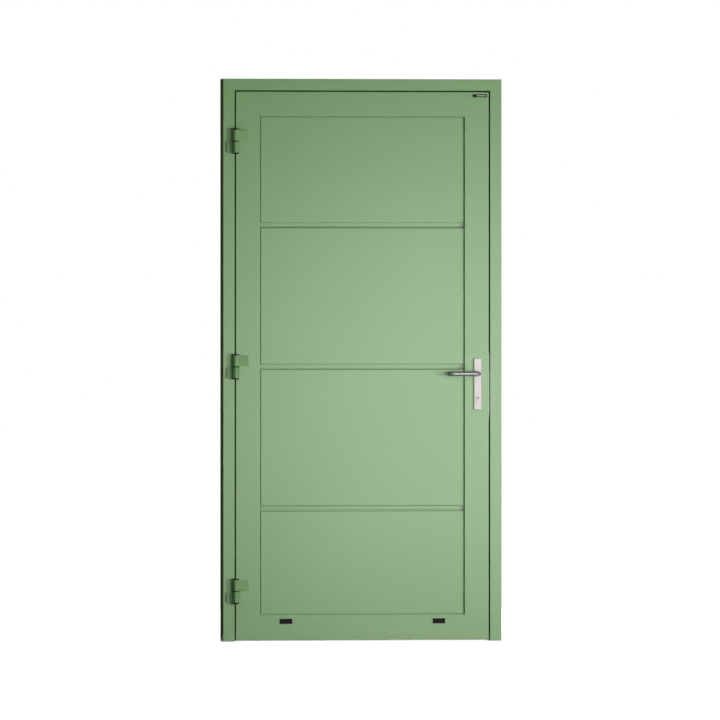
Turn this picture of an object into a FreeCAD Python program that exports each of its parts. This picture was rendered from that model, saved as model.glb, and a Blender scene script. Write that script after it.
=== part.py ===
import FreeCAD, Part

import math
import os

from FreeCAD import Vector

# Steel utility door set for outside use, in millimetres.
# X runs to the right seen from outside, Y into the wall and Z up.
# The origin is the centre of the threshold's underside, on the floor.

# Overall frame
frame_width = 1070.0
frame_height = 2140.0
frame_depth = 85.0
frame_face = 44.0
frame_wall = 2.0
stop_reach = 24.0
stop_depth = 16.0
edge_radius = 1.5
gap_edge_radius = 0.8

# Threshold behind the leaf, with a seal of its own in its front
threshold_height = 20.0
threshold_seal_floor = 8.0

# Seal in the frame's stop
seal_width = 6.0
seal_foot = 3.0
seal_proud = 4.0
seal_edge = 4.0
seal_round = 2.9

# Leaf profile
leaf_gap = 5.2
leaf_floor_gap = 9.0
leaf_depth = 60.0
leaf_face = 93.0
leaf_wall = 2.0
leaf_nose_depth = 25.0
leaf_setback = 8.0
channel_depth = 18.0
foot_strip_width = 22.0
foot_strip_height = 4.0
foot_strip_setback = 1.0

# Panel sections
panel_recess = 9.0
panel_thickness = 40.0
panel_count = 4
panel_side_clearance = 1.0
first_joint_height = 495.5
joint_pitch = 539.0
slot_height = 5.0
strip_height = 15.0
strip_recess = 10.0
lip_thickness = 5.0
tongue_thickness = 12.0
tongue_height = 16.0
tongue_clearance = 0.3
panel_radius = 2.0
lip_radius = 1.0
edge_groove_width = 4.0
edge_groove_depth = 7.0

# Beads that hold the panels from inside
bead_wall = 1.5
bead_radius = 2.0

# Hinges
bottom_hinge_height = 192.0
middle_hinge_height = 1045.0
top_hinge_drop = 238.0
axis_offset = 18.0
knuckle_radius = 12.5
knuckle_height = 41.5
wing_inset = 1.5
leaf_wing_reach = 50.0
leaf_wing_edge = 4.0
frame_wing_reach = 32.5
frame_wing_thickness = 9.0
wing_seat_margin = 1.0
bush_height = 4.0
bush_radius = 12.8
pin_radius = 7.0
pin_clearance = 0.05
pin_end_gap = 5.0
cap_radius = 12.8
cap_rim = 4.5
cap_crown = 2.0
cap_crown_radius = 4.5

# Handle set
handle_setback = 43.0
handle_height = 1018.0
cylinder_drop = 92.0
plate_width = 30.0
plate_length = 197.0
plate_depth = 8.0
plate_wall = 2.0
plate_front = 3.0
plate_above_spindle = 59.0
plate_corner = 3.0
plate_edge = 1.6
lever_reach = 112.0
lever_bar_radius = 8.0
lever_stand_off = 47.0
lever_bend = 16.0
lever_bend_runs = 3
lever_return_gap = 12.0
collar_radius = 11.0
collar_length = 9.0
collar_gap = 0.5
journal_radius = 7.0
journal_back_gap = 1.0
journal_clearance = 0.05
boss_wall = 4.0
spindle_size = 8.0
spindle_clearance = 0.05
spindle_socket = 20.0
spindle_end_gap = 0.5

# Lock
lock_centre_depth = 40.0
lock_case_width = 16.0
lock_case_reach = 58.0
lock_case_above = 50.0
lock_case_below = 38.0
lock_hole_radius = 9.0
cylinder_hole_margin = 1.0
faceplate_width = 24.0
faceplate_thickness = 3.0
faceplate_above = 82.0
faceplate_below = 74.0
faceplate_radius = 4.0
strike_thickness = 2.0
strike_margin = 1.5
latch_height = 22.0
bolt_height = 32.0
bolt_width = 12.0
bolt_clearance = 0.5
bolt_pocket = 2.0
bolt_setback = 0.4
cylinder_radius = 8.5
cylinder_tongue = 10.0
cylinder_length_below = 24.0
cylinder_proud = 3.0
cylinder_clearance = 0.3
keyway_length = 9.0
keyway_width = 2.0
keyway_depth = 6.0

# Drain caps
drain_cap_width = 47.0
drain_cap_height = 19.0
drain_cap_depth = 5.0
drain_cap_radius = 1.5
drain_cap_wall = 1.5
drain_cap_from_edge = 192.0
drain_cap_centre = 77.0
drain_slot_width = 34.0
drain_slot_height = 7.0
drain_tongue = 5.0
drain_clearance = 0.3

# Anchor holes through the jambs
anchor_end_distance = 230.0
anchor_count = 4
anchor_depth = 40.0
anchor_radius = 5.25
anchor_access_radius = 8.0

# Places worked out from the sizes above
inside_y = stop_depth / 2
outside_y = inside_y - frame_depth
stop_from_face = frame_depth - stop_depth
frame_reach = frame_face + stop_reach
leaf_x = frame_width / 2 - frame_face - leaf_gap
leaf_top = frame_height - frame_face - leaf_gap
leaf_bottom = leaf_floor_gap
channel_floor = leaf_face - channel_depth
axis_x = -(leaf_x + leaf_gap / 2)
axis_y = outside_y - axis_offset
spindle_x = leaf_x - handle_setback
cylinder_z = handle_height - cylinder_drop
hinges = (
    ("bottom", bottom_hinge_height),
    ("middle", middle_hinge_height),
    ("top", frame_height - top_hinge_drop),
)
seal_end = frame_reach - seal_edge
seal_start = seal_end - seal_width
faceplate_low = cylinder_z - faceplate_below
faceplate_high = handle_height + faceplate_above

# Extra length of cutting solids past what they cut
margin = 5.0


def save(name, shape):
    """Write one named piece as a STEP file."""
    shape.exportStep("parts/" + name + ".step")


def rounded_wire(corners, place):
    """Closed wire through corners (a, b) or (a, b, radius), set in space by place."""
    points = []
    for i, corner in enumerate(corners):
        here = Vector(corner[0], corner[1], 0)
        radius = corner[2] if len(corner) > 2 else 0.0
        if radius <= 0:
            points.append((here, here, here))
            continue
        before = Vector(corners[i - 1][0], corners[i - 1][1], 0)
        following = corners[(i + 1) % len(corners)]
        after = Vector(following[0], following[1], 0)
        to_before = (before - here).normalize()
        to_after = (after - here).normalize()
        half = to_before.getAngle(to_after) / 2
        reach = radius / math.tan(half)
        bisector = (to_before + to_after).normalize()
        centre = here + bisector * (radius / math.sin(half))
        points.append((here + to_before * reach, centre - bisector * radius, here + to_after * reach))
    edges = []
    for i, (start, middle, end) in enumerate(points):
        if (end - start).Length > 1e-6:
            arc = Part.Arc(place(start.x, start.y), place(middle.x, middle.y), place(end.x, end.y))
            edges.append(arc.toShape())
        next_start = points[(i + 1) % len(points)][0]
        if (next_start - end).Length > 1e-6:
            edges.append(Part.makeLine(place(end.x, end.y), place(next_start.x, next_start.y)))
    return Part.Wire(edges)


def prism(outer, place, direction, inner=None):
    """Extrude a rounded outline, hollow when an inner outline is given."""
    wires = [rounded_wire(outer, place)]
    if inner:
        wires.append(rounded_wire(inner, place))
    face = Part.makeFace(wires, "Part::FaceMakerCheese")
    return face.extrude(direction)


def box(x0, x1, y0, y1, z0, z1):
    """Block between two corners."""
    return Part.makeBox(x1 - x0, y1 - y0, z1 - z0, Vector(x0, y0, z0))


def upright(radius, x, y, z0, z1):
    """Cylinder along Z."""
    return Part.makeCylinder(radius, z1 - z0, Vector(x, y, z0))


def crosswise(radius, x, z, y0, y1):
    """Cylinder along Y."""
    return Part.makeCylinder(radius, y1 - y0, Vector(x, y0, z), Vector(0, 1, 0))


def mitre_region(points):
    """Prism along Y over an outline in X and Z, deeper than the door."""
    y0 = outside_y - margin
    corners = [Vector(x, y0, z) for x, z in points]
    face = Part.Face(Part.makePolygon(corners + [corners[0]]))
    return face.extrude(Vector(0, frame_depth + 2 * margin, 0))


def bar_on_side(outer, inner, edge_x, side, z0, z1):
    """Upright profile bar whose outline starts at edge_x and runs to the middle."""
    def place(u, v):
        return Vector(edge_x - side * u, outside_y + v, z0)
    return prism(outer, place, Vector(0, 0, z1 - z0), inner)


def bar_on_level(outer, inner, edge_z, up, x0, x1):
    """Level profile bar whose outline starts at edge_z and runs to the middle."""
    def place(u, v):
        return Vector(x0, outside_y + v, edge_z - up * u)
    return prism(outer, place, Vector(x1 - x0, 0, 0), inner)


def mitred_loop(outer, inner, half_width, bottom, top, reach):
    """Left, right, top and bottom bars of one profile, mitred at the corners."""
    inset = half_width - reach
    left = mitre_region([(-half_width, bottom), (-half_width, top),
                         (-inset, top - reach), (-inset, bottom + reach)])
    right = mitre_region([(half_width, bottom), (half_width, top),
                          (inset, top - reach), (inset, bottom + reach)])
    head = mitre_region([(-half_width, top), (half_width, top),
                         (inset, top - reach), (-inset, top - reach)])
    foot = mitre_region([(-half_width, bottom), (half_width, bottom),
                         (inset, bottom + reach), (-inset, bottom + reach)])
    return {
        "left": bar_on_side(outer, inner, -half_width, -1, bottom, top).common(left),
        "right": bar_on_side(outer, inner, half_width, 1, bottom, top).common(right),
        "top": bar_on_level(outer, inner, top, 1, -half_width, half_width).common(head),
        "bottom": bar_on_level(outer, inner, bottom, -1, -half_width, half_width).common(foot),
    }


def frame_outlines():
    """Outer and inner outline of the frame profile, with the seal's groove in its stop."""
    wall = frame_wall
    groove_floor = stop_from_face + seal_foot
    outer = [
        (0, 0, edge_radius),
        (frame_face, 0, gap_edge_radius),
        (frame_face, stop_from_face),
        (seal_start, stop_from_face),
        (seal_start, groove_floor),
        (seal_end, groove_floor),
        (seal_end, stop_from_face),
        (frame_reach, stop_from_face, edge_radius),
        (frame_reach, frame_depth, edge_radius),
        (0, frame_depth, edge_radius),
    ]
    inner = [
        (wall, wall),
        (frame_face - wall, wall),
        (frame_face - wall, stop_from_face + wall),
        (seal_start - wall, stop_from_face + wall),
        (seal_start - wall, groove_floor + wall),
        (frame_reach - wall, groove_floor + wall),
        (frame_reach - wall, frame_depth - wall),
        (wall, frame_depth - wall),
    ]
    return outer, inner


def frame_bars():
    """Both jambs and the head, the jambs notched over the threshold."""
    outer, inner = frame_outlines()
    half = frame_width / 2
    below = frame_reach + margin
    bars = mitred_loop(outer, inner, half, -below, frame_height, frame_reach)
    for side, name in ((-1, "left"), (1, "right")):
        edge = side * half
        foot = box(-half - margin, half + margin, outside_y - margin, inside_y + margin,
                   -below - margin, 0)
        inner_x = side * (half - frame_face)
        notch = box(min(0, inner_x), max(0, inner_x), inside_y - stop_depth, inside_y + margin,
                    0, threshold_height)
        bar = bars[name].cut(foot).cut(notch)
        for z in anchor_heights():
            y = outside_y + anchor_depth
            inward = Vector(-side, 0, 0)
            hole = Part.makeCylinder(anchor_radius, frame_face, Vector(edge, y, z), inward)
            access = Part.makeCylinder(anchor_access_radius, frame_face,
                                       Vector(edge - side * frame_face / 2, y, z), inward)
            bar = bar.cut(hole).cut(access)
        bars[name] = bar
    return bars["left"], bars["right"], bars["top"]


def anchor_heights():
    """Heights of the anchor holes, evenly spaced along a jamb."""
    pitch = (frame_height - 2 * anchor_end_distance) / (anchor_count - 1)
    return [anchor_end_distance + i * pitch for i in range(anchor_count)]


def threshold():
    """Hollow bar on the floor behind the leaf, with a groove for its seal in front."""
    half = frame_width / 2 - frame_face
    wall = frame_wall
    low = threshold_seal_floor
    high = low + seal_width

    def place(a, b):
        return Vector(-half, inside_y - stop_depth + a, b)
    outer = [
        (0, 0),
        (stop_depth, 0),
        (stop_depth, threshold_height, edge_radius),
        (0, threshold_height, edge_radius),
        (0, high),
        (seal_foot, high),
        (seal_foot, low),
        (0, low),
    ]
    inner = [
        (seal_foot + wall, wall),
        (stop_depth - wall, wall),
        (stop_depth - wall, threshold_height - wall),
        (seal_foot + wall, threshold_height - wall),
    ]
    return prism(outer, place, Vector(2 * half, 0, 0), inner)


def seal_outline(start, end, front):
    """Rubber strip's outline: a foot behind the face at front and a round bulb before it."""
    return [
        (start, front + seal_foot),
        (start, front - seal_proud, seal_round),
        (end, front - seal_proud, seal_round),
        (end, front + seal_foot),
    ]


def frame_seal():
    """Seal round the stop and a second strip in the threshold's front."""
    half = frame_width / 2
    below = frame_reach + margin
    outline = seal_outline(seal_start, seal_end, stop_from_face)
    loop = mitred_loop(outline, None, half, -below, frame_height, frame_reach)
    strip = loop["left"].fuse(loop["top"]).fuse(loop["right"]).removeSplitter()
    strip = strip.cut(box(-half, half, outside_y, inside_y, -below - margin, threshold_height))
    low = threshold_seal_floor
    inner_half = half - frame_face
    level = bar_on_level(seal_outline(low, low + seal_width, stop_from_face), None, 0, -1,
                         -inner_half, inner_half)
    return Part.makeCompound([strip, level])


def leaf_outlines():
    """Outer and inner outline of the leaf profile, with the lip over the panels' edges."""
    wall = leaf_wall
    outer = [
        (0, 0, gap_edge_radius),
        (leaf_face, 0, edge_radius),
        (leaf_face, panel_recess),
        (channel_floor, panel_recess),
        (channel_floor, leaf_depth),
        (leaf_setback, leaf_depth, edge_radius),
        (leaf_setback, leaf_nose_depth),
        (0, leaf_nose_depth),
    ]
    inner = [
        (wall, wall),
        (leaf_face - wall, wall),
        (leaf_face - wall, panel_recess - wall),
        (channel_floor - wall, panel_recess - wall),
        (channel_floor - wall, leaf_depth - wall),
        (leaf_setback + wall, leaf_depth - wall),
        (leaf_setback + wall, leaf_nose_depth - wall),
        (wall, leaf_nose_depth - wall),
    ]
    return outer, inner


def cylinder_outline(grow, y0, y1):
    """Keyhole-shaped lock cylinder body, larger by grow all round."""
    radius = cylinder_radius + grow
    half = cylinder_tongue / 2 + grow
    low = cylinder_z - cylinder_length_below - grow
    barrel = crosswise(radius, spindle_x, cylinder_z, y0, y1)
    tongue = box(spindle_x - half, spindle_x + half, y0, y1, low + half, cylinder_z)
    toe = crosswise(half, spindle_x, low + half, y0, y1)
    return barrel.fuse(tongue).fuse(toe).removeSplitter()


def lock_case_box(grow):
    """Space of the lock case inside the lock stile, larger by grow."""
    outer_x = leaf_x - leaf_setback
    y = outside_y + lock_centre_depth
    half = lock_case_width / 2 + grow
    return box(outer_x - lock_case_reach - grow, outer_x + grow, y - half, y + half,
               cylinder_z - lock_case_below - grow, handle_height + lock_case_above + grow)


def leaf_bars():
    """Stiles and rails of the leaf with the lock's and the drains' cut-outs."""
    outer, inner = leaf_outlines()
    bars = mitred_loop(outer, inner, leaf_x, leaf_bottom, leaf_top, leaf_face)
    back = outside_y + leaf_depth
    stile = bars["right"]
    stile = stile.cut(crosswise(lock_hole_radius, spindle_x, handle_height,
                                outside_y - margin, back + margin))
    stile = stile.cut(cylinder_outline(cylinder_hole_margin, outside_y - margin, back + margin))
    case = lock_case_box(cylinder_clearance)
    edge_wall = box(leaf_x - leaf_setback - leaf_wall, leaf_x, outside_y, back, 0, leaf_top)
    stile = stile.cut(case.common(edge_wall))
    rail = bars["bottom"]
    for x in drain_places():
        rail = rail.cut(box(x - drain_slot_width / 2, x + drain_slot_width / 2,
                            outside_y - margin, outside_y + leaf_wall,
                            drain_cap_centre - drain_slot_height / 2,
                            drain_cap_centre + drain_slot_height / 2))
    return bars["left"], stile, bars["top"], rail


def drain_places():
    """X of both drain caps."""
    x = leaf_x - drain_cap_from_edge
    return (-x, x)


def panel(index):
    """One panel section: tongue on top, hooded groove with a recessed strip below."""
    front = panel_recess
    back = panel_recess + panel_thickness
    lip_front = front + strip_recess
    lip_back = lip_front + lip_thickness
    tongue_front = lip_back + tongue_clearance
    tongue_back = tongue_front + tongue_thickness
    groove_back = tongue_back + tongue_clearance
    last = panel_count - 1
    low = leaf_bottom + channel_floor + panel_side_clearance
    high = leaf_top - channel_floor - panel_side_clearance
    if index > 0:
        low = first_joint_height + (index - 1) * joint_pitch
    if index < last:
        high = first_joint_height + index * joint_pitch
    if index == 0:
        foot = [(front, low), (back, low)]
    else:
        step = low + slot_height + strip_height
        foot = [
            (front, step, panel_radius),
            (lip_front, step),
            (lip_front, low + slot_height, lip_radius),
            (lip_back, low + slot_height),
            (lip_back, low + tongue_height + tongue_clearance),
            (groove_back, low + tongue_height + tongue_clearance),
            (groove_back, low),
            (back, low),
        ]
    if index == last:
        crown = [(back, high), (front, high)]
    else:
        crown = [
            (back, high),
            (tongue_back, high),
            (tongue_back, high + tongue_height),
            (tongue_front, high + tongue_height),
            (tongue_front, high),
            (front, high, panel_radius),
        ]
    half = leaf_x - channel_floor - panel_side_clearance

    def place(v, z):
        return Vector(-half, outside_y + v, z)
    section = prism(foot + crown, place, Vector(2 * half, 0, 0))
    for groove in edge_grooves():
        section = section.cut(groove)
    return section


def edge_grooves():
    """Narrow grooves in the panels' fronts along the leaf profile, on all four sides."""
    field_x = leaf_x - leaf_face
    field_low = leaf_bottom + leaf_face
    field_high = leaf_top - leaf_face
    width = edge_groove_width
    y0 = outside_y + panel_recess - margin
    y1 = outside_y + panel_recess + edge_groove_depth
    return (
        box(-field_x, -field_x + width, y0, y1, field_low, field_high),
        box(field_x - width, field_x, y0, y1, field_low, field_high),
        box(-field_x, field_x, y0, y1, field_low, field_low + width),
        box(-field_x, field_x, y0, y1, field_high - width, field_high),
    )


def beads():
    """Hollow beads behind the panels, mitred at the corners."""
    wall = bead_wall
    front = panel_recess + panel_thickness
    outer = [
        (0, front),
        (channel_depth, front),
        (channel_depth, leaf_depth, bead_radius),
        (0, leaf_depth),
    ]
    inner = [
        (wall, front + wall),
        (channel_depth - wall, front + wall),
        (channel_depth - wall, leaf_depth - wall),
        (wall, leaf_depth - wall),
    ]
    return mitred_loop(outer, inner, leaf_x - channel_floor, leaf_bottom + channel_floor,
                       leaf_top - channel_floor, channel_depth)


def bottom_strip():
    """Painted flat bar under the bottom rail."""
    front = outside_y + foot_strip_setback
    return box(-leaf_x, leaf_x, front, front + foot_strip_width,
               leaf_bottom - foot_strip_height, leaf_bottom)


def leaf_wing_outline():
    """Wing that leaves the knuckle as a tangent and tapers to its edge on the leaf."""
    inner = leaf_gap / 2 + wing_seat_margin
    tip = axis_offset - leaf_wing_edge
    distance = math.hypot(leaf_wing_reach, tip)
    turn = math.atan2(tip, leaf_wing_reach) - math.acos(knuckle_radius / distance)
    return [
        (0, 0),
        (knuckle_radius * math.cos(turn), knuckle_radius * math.sin(turn)),
        (leaf_wing_reach, tip),
        (leaf_wing_reach, axis_offset),
        (inner, axis_offset),
        (inner, 0),
    ]


def frame_wing_outline():
    """Flat wing under the knuckle on the jamb's face."""
    inner = leaf_gap / 2 + wing_seat_margin
    front = axis_offset - frame_wing_thickness
    return [(inner, front), (frame_wing_reach, front),
            (frame_wing_reach, axis_offset), (inner, axis_offset)]


def hinge_half(side, outline, z0, z1):
    """Knuckle and wing; side is 1 for the leaf's half and -1 for the frame's."""
    def place(a, b):
        return Vector(axis_x + side * a, axis_y + b, z0 + wing_inset)
    wing = prism(outline, place, Vector(0, 0, z1 - z0 - 2 * wing_inset))
    knuckle = upright(knuckle_radius, axis_x, axis_y, z0, z1)
    bore = upright(pin_radius + pin_clearance, axis_x, axis_y, z0 - margin, z1 + margin)
    return knuckle.fuse(wing).cut(bore).removeSplitter()


def upper_cap(z):
    """Flat plastic cap on the upper knuckle, a little wider than the knuckle."""
    return upright(cap_radius, axis_x, axis_y, z, z + cap_rim)


def lower_cap(z):
    """Plastic cap under the lower knuckle, with a small nib."""
    crown_z = z - cap_rim
    rim = upright(cap_radius, axis_x, axis_y, crown_z, z)
    nib = Part.makeCone(cap_crown_radius, cap_crown_radius / 2, cap_crown,
                        Vector(axis_x, axis_y, crown_z), Vector(0, 0, -1))
    return rim.fuse(nib).removeSplitter()


def save_hinges():
    """Leaf and frame parts of each hinge, and the small pieces that all three share."""
    pins, bushes, upper_caps, lower_caps = [], [], [], []
    for name, z in hinges:
        low = z - bush_height / 2
        high = z + bush_height / 2
        save("hinge_" + name + "_leaf_part",
             hinge_half(1, leaf_wing_outline(), high, high + knuckle_height))
        save("hinge_" + name + "_frame_part",
             hinge_half(-1, frame_wing_outline(), low - knuckle_height, low))
        pins.append(upright(pin_radius, axis_x, axis_y, low - knuckle_height + pin_end_gap,
                            high + knuckle_height - pin_end_gap))
        bush = upright(bush_radius, axis_x, axis_y, low, high)
        bushes.append(bush.cut(upright(pin_radius + pin_clearance, axis_x, axis_y,
                                       low - margin, high + margin)))
        upper_caps.append(upper_cap(high + knuckle_height))
        lower_caps.append(lower_cap(low - knuckle_height))
    save("hinge_pins", Part.makeCompound(pins))
    save("hinge_bushes", Part.makeCompound(bushes))
    save("hinge_upper_caps", Part.makeCompound(upper_caps))
    save("hinge_lower_caps", Part.makeCompound(lower_caps))


def edges_at(shape, y):
    """Edges of a shape that lie in the plane at y."""
    near = 1e-3
    return [e for e in shape.Edges
            if abs(e.BoundBox.YMin - y) < near and abs(e.BoundBox.YMax - y) < near]


def plate_block(face_y, out, inset, depth, corner):
    """Block of the handle plate's outline with round corners, smaller by inset."""
    x0 = spindle_x - plate_width / 2
    high = handle_height + plate_above_spindle
    low = high - plate_length

    def place(a, b):
        return Vector(x0 + a, face_y, b)
    outline = [
        (inset, low + inset, corner),
        (plate_width - inset, low + inset, corner),
        (plate_width - inset, high - inset, corner),
        (inset, high - inset, corner),
    ]
    return prism(outline, place, Vector(0, out * depth, 0))


def handle_plate(face_y, out):
    """Hollow long plate on a leaf face; out is -1 outside and 1 inside."""
    plate = plate_block(face_y, out, 0, plate_depth, plate_corner)
    plate = plate.makeChamfer(plate_edge, edges_at(plate, face_y + out * plate_depth))
    hollow = plate_depth - plate_front
    plate = plate.cut(plate_block(face_y, out, plate_wall, hollow, 0))
    y0 = min(face_y, face_y + out * plate_depth)
    y1 = y0 + plate_depth
    boss_y = min(face_y, face_y + out * hollow)
    boss = crosswise(journal_radius + boss_wall, spindle_x, handle_height,
                     boss_y, boss_y + hollow)
    bore = crosswise(journal_radius + journal_clearance, spindle_x, handle_height,
                     y0 - margin, y1 + margin)
    plate = plate.fuse(boss).cut(bore)
    plate = plate.cut(cylinder_outline(cylinder_clearance, y0 - margin, y1 + margin))
    return plate.removeSplitter()


def elbow_points(centre, start_turn, out):
    """Points of a bar's quarter turn of short straight runs about centre, where they meet."""
    step = math.pi / 2 / lever_bend_runs
    radius = lever_bend / math.cos(step / 2)
    points = []
    for i in range(lever_bend_runs):
        turn = start_turn + (i + 0.5) * step
        points.append(Vector(centre.x + radius * math.cos(turn),
                             centre.y + out * radius * math.sin(turn), centre.z))
    return points


def rod(radius, x0, x1, y0, y1):
    """Round bar at the handle's height between two points."""
    start = Vector(x0, y0, handle_height)
    along = Vector(x1, y1, handle_height) - start
    return Part.makeCylinder(radius, along.Length, start, along)


def lever(face_y, out):
    """Round bar lever: journal, collar, neck, grip and the return towards the leaf."""
    def at(stand):
        return face_y + out * stand
    start = plate_depth + collar_gap
    end_x = spindle_x - lever_reach
    bend_stand = lever_stand_off - lever_bend
    journal = rod(journal_radius, spindle_x, spindle_x, at(journal_back_gap), at(start))
    collar = rod(collar_radius, spindle_x, spindle_x, at(start), at(start + collar_length))
    near = Vector(spindle_x - lever_bend, at(bend_stand), handle_height)
    far = Vector(end_x + lever_bend, at(bend_stand), handle_height)
    points = [Vector(spindle_x, at(start), handle_height)]
    points += elbow_points(near, 0, out)
    points += elbow_points(far, math.pi / 2, out)
    points += [Vector(end_x, at(lever_return_gap), handle_height)]
    ring = Part.Wire(Part.makeCircle(lever_bar_radius, points[0], Vector(0, out, 0)))
    bar = Part.makePolygon(points).makePipeShell([ring], True, False, 1)
    half = spindle_size / 2 + spindle_clearance
    depth = start + spindle_socket
    socket_y = min(face_y, at(depth))
    socket = box(spindle_x - half, spindle_x + half, socket_y, socket_y + depth,
                 handle_height - half, handle_height + half)
    return bar.fuse([collar, journal]).cut(socket).removeSplitter()


def spindle():
    """Square bar between both levers' sockets."""
    half = spindle_size / 2
    reach = plate_depth + collar_gap + spindle_socket - spindle_end_gap
    return box(spindle_x - half, spindle_x + half, outside_y - reach,
               outside_y + leaf_depth + reach, handle_height - half, handle_height + half)


def bolt_heads():
    """Middle height and size of the latch and of the bolt, both drawn back."""
    return ((handle_height, latch_height), (cylinder_z, bolt_height))


def edge_plate(x0, x1):
    """Upright plate with round corners, facing along X, at the lock's depth."""
    y = outside_y + lock_centre_depth
    half = faceplate_width / 2
    r = faceplate_radius

    def place(a, b):
        return Vector(x0, y + a, b)
    outline = [(-half, faceplate_low, r), (half, faceplate_low, r),
               (half, faceplate_high, r), (-half, faceplate_high, r)]
    return prism(outline, place, Vector(x1 - x0, 0, 0))


def bolt_box(x0, x1, z, height, grow):
    """Block of a bolt head's outline between two places in X, larger by grow."""
    y = outside_y + lock_centre_depth
    half = bolt_width / 2 + grow
    return box(x0, x1, y - half, y + half, z - height / 2 - grow, z + height / 2 + grow)


def mortice_lock():
    """Lock case in the stile, its faceplate on the stile's edge and both bolt heads."""
    x0 = leaf_x - leaf_setback
    x1 = x0 + faceplate_thickness
    y = outside_y + lock_centre_depth
    half = faceplate_width / 2
    lock = lock_case_box(0).fuse(edge_plate(x0, x1))
    lock = lock.cut(crosswise(lock_hole_radius, spindle_x, handle_height, y - half, y + half))
    lock = lock.cut(cylinder_outline(cylinder_clearance, y - half, y + half))
    for z, height in bolt_heads():
        lock = lock.cut(bolt_box(x1 - bolt_pocket, x1 + margin, z, height, bolt_clearance))
        lock = lock.fuse(bolt_box(x1 - bolt_pocket, x1 - bolt_setback, z, height, 0))
    return lock.removeSplitter()


def lock_cylinder():
    """Profile cylinder through the leaf with a level keyway at both ends."""
    y0 = outside_y - plate_depth - cylinder_proud
    y1 = outside_y + leaf_depth + plate_depth + cylinder_proud
    body = cylinder_outline(0, y0, y1)
    for y in (y0, y1 - keyway_depth):
        body = body.cut(box(spindle_x - keyway_length / 2, spindle_x + keyway_length / 2,
                            y, y + keyway_depth,
                            cylinder_z - keyway_width / 2, cylinder_z + keyway_width / 2))
    return body


def strike_plate():
    """Plate on the lock jamb facing the lock, with openings for latch and bolt."""
    x1 = frame_width / 2 - frame_face
    x0 = x1 - strike_thickness
    plate = edge_plate(x0, x1)
    for z, height in bolt_heads():
        plate = plate.cut(bolt_box(x0 - margin, x1 + margin, z, height, strike_margin))
    return plate


def drain_cap(x):
    """Hooded plastic cap clipped into the bottom rail's drain slot."""
    half = drain_cap_width / 2
    low = drain_cap_centre - drain_cap_height / 2
    high = drain_cap_centre + drain_cap_height / 2
    front = outside_y - drain_cap_depth
    r = drain_cap_radius

    def place(a, b):
        return Vector(x + a, outside_y, b)
    hood = prism([(-half, low, r), (half, low, r), (half, high, r), (-half, high, r)],
                 place, Vector(0, -drain_cap_depth, 0))
    slot_half = drain_slot_width / 2
    mouth = box(x - slot_half, x + slot_half, front + drain_cap_wall, outside_y + margin,
                low - margin, drain_cap_centre)
    clear = drain_clearance
    tongue = box(x - slot_half + clear, x + slot_half - clear, front + drain_cap_wall,
                 outside_y + drain_tongue, drain_cap_centre + clear,
                 drain_cap_centre + drain_slot_height / 2 - clear)
    return hood.cut(mouth).fuse(tongue).removeSplitter()


def build():
    """Make every piece and write it."""
    os.makedirs("parts", exist_ok=True)
    hinge_jamb, lock_jamb, head = frame_bars()
    save("hinge_jamb", hinge_jamb)
    save("lock_jamb", lock_jamb)
    save("head", head)
    save("threshold", threshold())
    save("frame_seal", frame_seal())
    save("strike_plate", strike_plate())
    hinge_stile, lock_stile, top_rail, bottom_rail = leaf_bars()
    save("hinge_stile", hinge_stile)
    save("lock_stile", lock_stile)
    save("top_rail", top_rail)
    save("bottom_rail", bottom_rail)
    for i in range(panel_count):
        save("panel_" + str(i + 1), panel(i))
    bead = beads()
    save("hinge_side_bead", bead["left"])
    save("lock_side_bead", bead["right"])
    save("top_bead", bead["top"])
    save("bottom_bead", bead["bottom"])
    save("bottom_strip", bottom_strip())
    save_hinges()
    back = outside_y + leaf_depth
    save("outside_handle_plate", handle_plate(outside_y, -1))
    save("inside_handle_plate", handle_plate(back, 1))
    save("outside_lever", lever(outside_y, -1))
    save("inside_lever", lever(back, 1))
    save("spindle", spindle())
    save("mortice_lock", mortice_lock())
    save("lock_cylinder", lock_cylinder())
    caps = [drain_cap(x) for x in drain_places()]
    save("drain_caps", Part.makeCompound(caps))


build()
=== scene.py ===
"""Looks of a steel utility door set: painted frame and leaf, hinges, levers and small trim."""

import logging
import math
from dataclasses import dataclass, field
from enum import Enum, IntEnum
from typing import Any, Dict, List, Optional, Sequence, Tuple, Union

import bpy
import numpy as np
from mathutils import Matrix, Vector


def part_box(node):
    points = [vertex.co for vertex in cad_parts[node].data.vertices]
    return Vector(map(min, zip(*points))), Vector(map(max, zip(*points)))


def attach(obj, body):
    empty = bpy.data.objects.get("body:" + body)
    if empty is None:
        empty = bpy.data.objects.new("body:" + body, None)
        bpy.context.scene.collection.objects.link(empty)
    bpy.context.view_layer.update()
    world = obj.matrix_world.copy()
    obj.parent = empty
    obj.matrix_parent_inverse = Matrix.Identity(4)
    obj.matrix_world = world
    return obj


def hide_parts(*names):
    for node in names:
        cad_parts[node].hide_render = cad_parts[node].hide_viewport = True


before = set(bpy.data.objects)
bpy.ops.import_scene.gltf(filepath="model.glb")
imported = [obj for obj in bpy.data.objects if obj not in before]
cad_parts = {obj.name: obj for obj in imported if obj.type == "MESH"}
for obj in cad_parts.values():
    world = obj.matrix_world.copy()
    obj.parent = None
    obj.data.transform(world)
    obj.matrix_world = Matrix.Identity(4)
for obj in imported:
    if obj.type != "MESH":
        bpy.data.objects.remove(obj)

log = logging.getLogger("door")

Colour = Tuple[float, float, float]
Point = Tuple[float, float, float]
IMAGE_WIDTH = 720
SENSOR_WIDTH = 36.0
ORIGIN: Point = (0.0, 0.0, 0.0)
BLACK: Colour = (0.0, 0.0, 0.0)
WHITE: Colour = (1.0, 1.0, 1.0)
GREEN: Colour = (0.093, 0.221, 0.059)


class Body(Enum):
    """The bodies of the door set that a piece can ride on."""

    FRAME = "frame"
    LEAF = "leaf"
    LEVER = "lever"


class Axis(IntEnum):
    """The directions of the shared frame, as the columns of a point."""

    X = 0
    Y = 1
    Z = 2


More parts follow.
